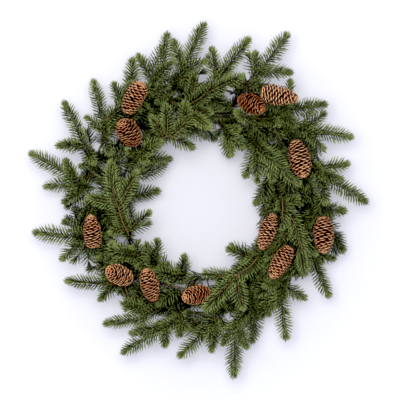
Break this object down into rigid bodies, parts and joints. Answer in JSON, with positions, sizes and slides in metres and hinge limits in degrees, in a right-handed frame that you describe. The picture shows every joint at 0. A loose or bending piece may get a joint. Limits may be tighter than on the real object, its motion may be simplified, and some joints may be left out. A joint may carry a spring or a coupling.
{
  "type": "pine wreath",
  "caption": "Round pine wreath: needle sprays that sweep clockwise, and brown cones, on a two-hoop wire frame wound with bristle wire.",
  "frame": {"origin": "under the middle of the wreath's box, on the plane of its back", "axes": "+Z from the back to the front, +Y to the top of the wreath as it hangs, +X to the right seen from the front"},
  "size_m": [0.5866, 0.6126, 0.0937],
  "materials": {
    "needle_green": "satin moulded needles on brown twig stems",
    "cone_brown": "dry woody scales with paler lips",
    "bristle_brown": "dull bristle wire",
    "painted_wire": "dark green-grey painted steel wire"
  },
  "bodies": {
    "root": {"wire_frame": "painted_wire", "bristle_winding": "bristle_brown", "cone_bottom": "cone_brown", "cone_left": "cone_brown", "cone_left_top": "cone_brown", "cone_low": "cone_brown", "cone_low_left": "cone_brown", "cone_low_right": "cone_brown", "cone_right": "cone_brown", "cone_right_inner": "cone_brown", "cone_right_upper": "cone_brown", "cone_top_left": "cone_brown", "cone_top_right": "cone_brown", "cone_top_right_inner": "cone_brown", "cone_wire_bottom": "painted_wire", "cone_wire_left": "painted_wire", "cone_wire_left_top": "painted_wire", "cone_wire_low": "painted_wire", "cone_wire_low_left": "painted_wire", "cone_wire_low_right": "painted_wire", "cone_wire_right": "painted_wire", "cone_wire_right_inner": "painted_wire", "cone_wire_right_upper": "painted_wire", "cone_wire_top_left": "painted_wire", "cone_wire_top_right": "painted_wire", "cone_wire_top_right_inner": "painted_wire", "spray_bottom": "needle_green", "spray_bottom_dark": "needle_green", "spray_bottom_front": "needle_green", "spray_bottom_left": "needle_green", "spray_bottom_long": "needle_green", "spray_inner_bottom": "needle_green", "spray_inner_bottom_left": "needle_green", "spray_inner_left": "needle_green", "spray_inner_left_low": "needle_green", "spray_inner_left_upper": "needle_green", "spray_inner_low_left": "needle_green", "spray_inner_right": "needle_green", "spray_inner_right_upper": "needle_green", "spray_inner_top_left": "needle_green", "spray_inner_top_right": "needle_green", "spray_left_long": "needle_green", "spray_left_shoulder": "needle_green", "spray_left_top": "needle_green", "spray_left_upper_long": "needle_green", "spray_low_left": "needle_green", "spray_low_left_long": "needle_green", "spray_low_middle": "needle_green", "spray_low_right": "needle_green", "spray_low_right_long": "needle_green", "spray_right": "needle_green", "spray_right_front": "needle_green", "spray_right_lower": "needle_green", "spray_right_shoulder": "needle_green", "spray_right_upper": "needle_green", "spray_top": "needle_green", "spray_top_left": "needle_green", "spray_top_left_tall": "needle_green", "spray_top_middle": "needle_green", "spray_top_right": "needle_green"}
  },
  "joints": []
}
